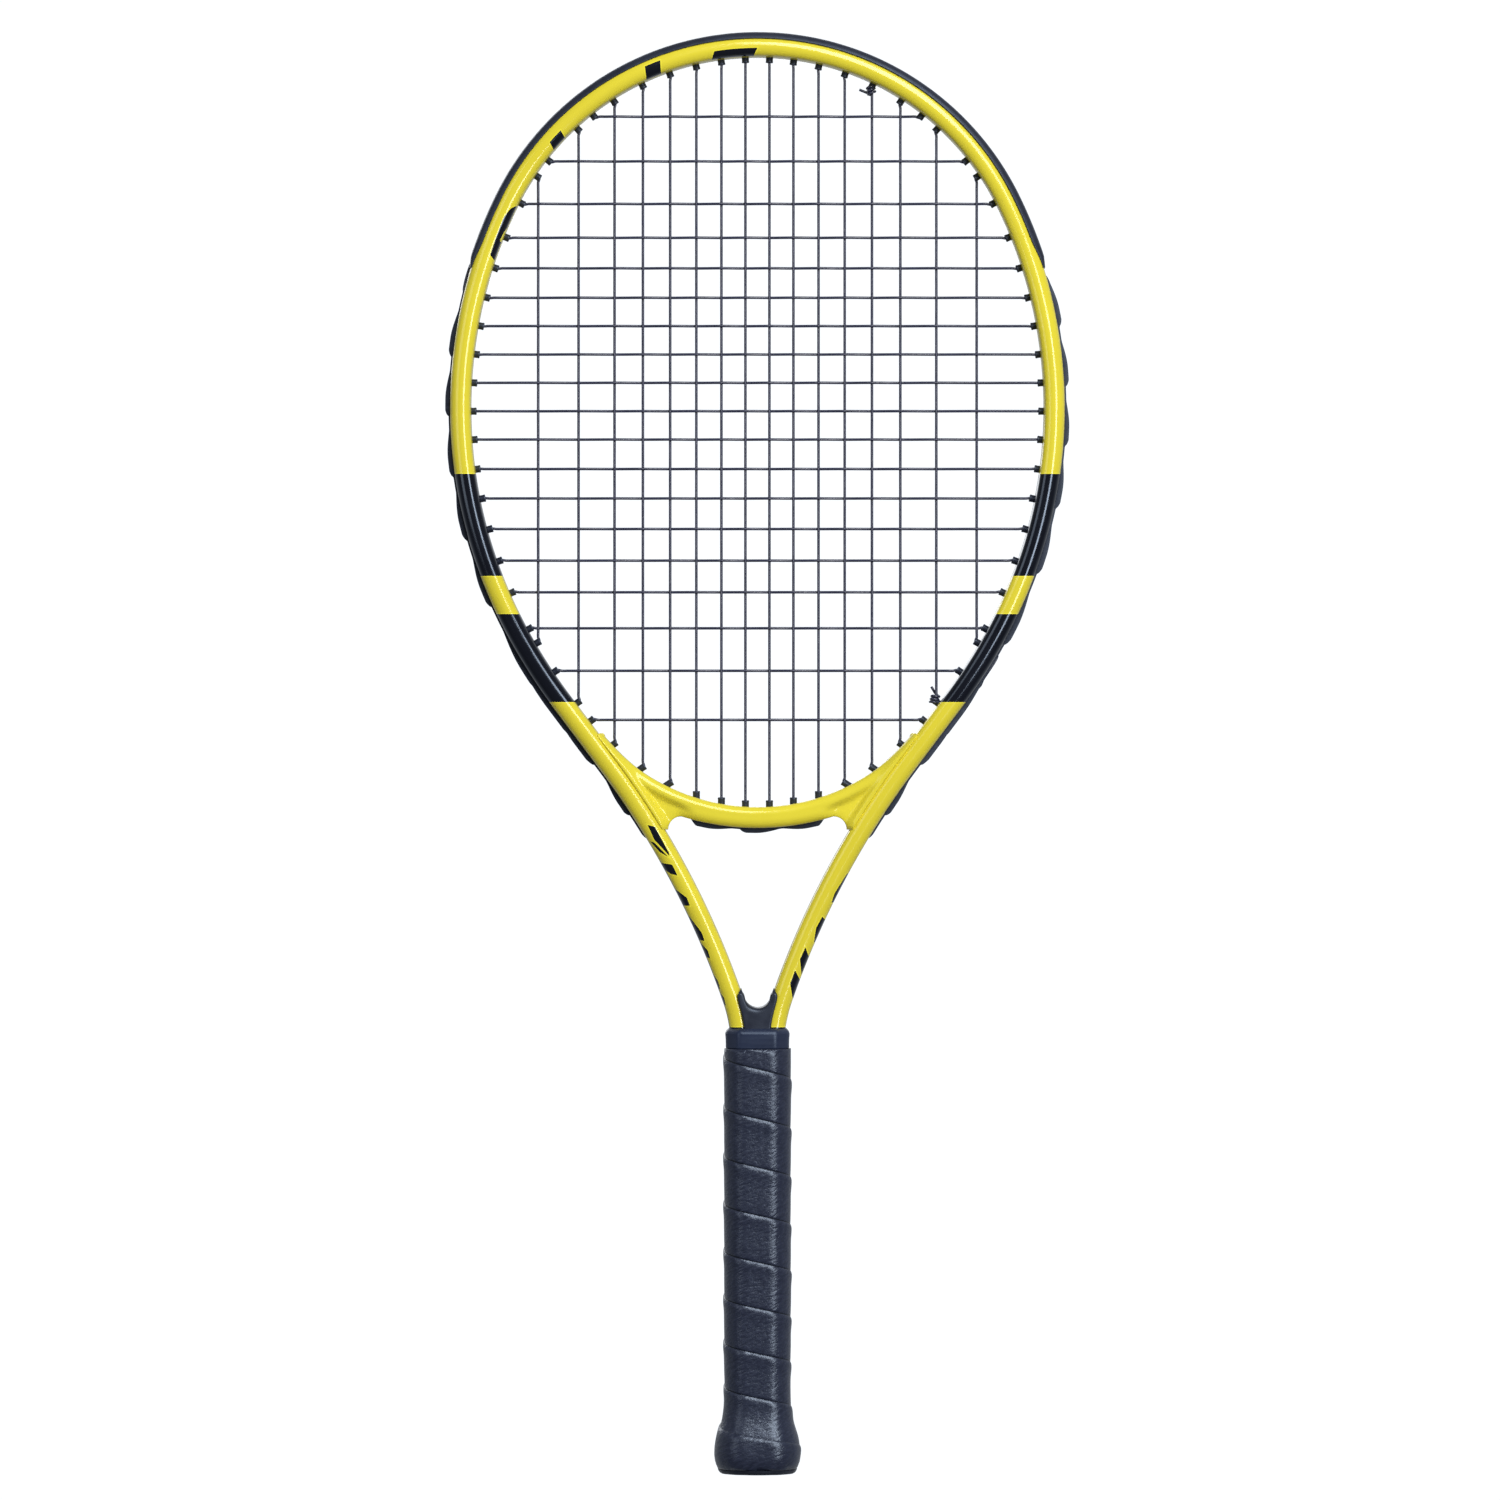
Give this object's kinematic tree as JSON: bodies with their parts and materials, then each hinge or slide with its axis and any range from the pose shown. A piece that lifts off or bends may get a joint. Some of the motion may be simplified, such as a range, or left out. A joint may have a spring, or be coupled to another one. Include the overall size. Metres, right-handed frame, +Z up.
{
  "type": "tennis racket",
  "caption": "Junior tennis racket with a strung oval head, moulded throat bridge, open triangular throat and wrapped octagonal handle.",
  "frame": {"origin": "centre of the butt end of the handle, on the plane of its lowest rim", "axes": "+Z up the handle to the tip of the head, +X to the right across the string bed, -Y out of the front face"},
  "size_m": [0.2854, 0.0354, 0.66],
  "materials": {
    "frame_paint": "gloss yellow paint with black bands, over an aluminium tube",
    "bridge_plastic": "gloss yellow moulding",
    "trim_plastic": "satin black moulding",
    "string": "dark navy monofilament",
    "collar_rubber": "smooth satin rubber",
    "handle_core": "plain grey moulding",
    "grip_wrap": "synthetic leather with a fine slanted grain",
    "screw_steel": "plain steel"
  },
  "bodies": {
    "racket": {"frame_tube": "frame_paint", "throat_bridge": "bridge_plastic", "head_guard": "trim_plastic", "side_strip_left": "trim_plastic", "side_strip_right": "trim_plastic", "throat_strip": "trim_plastic", "string": "string", "throat_insert": "trim_plastic", "collar": "collar_rubber", "pallet_front": "handle_core", "pallet_back": "handle_core", "grip": "grip_wrap", "butt_cap": "trim_plastic", "cap_screw_front": "screw_steel", "cap_screw_back": "screw_steel", "half_screw_lower": "screw_steel", "half_screw_upper": "screw_steel"},
    "cap_door": {"butt_cap_door": "trim_plastic"}
  },
  "joints": [
    {"name": "cap_door_slide", "type": "slide", "parent": "racket", "child": "cap_door", "axis": [0, 0, -1], "range_m": [0, 0.03]}
  ]
}
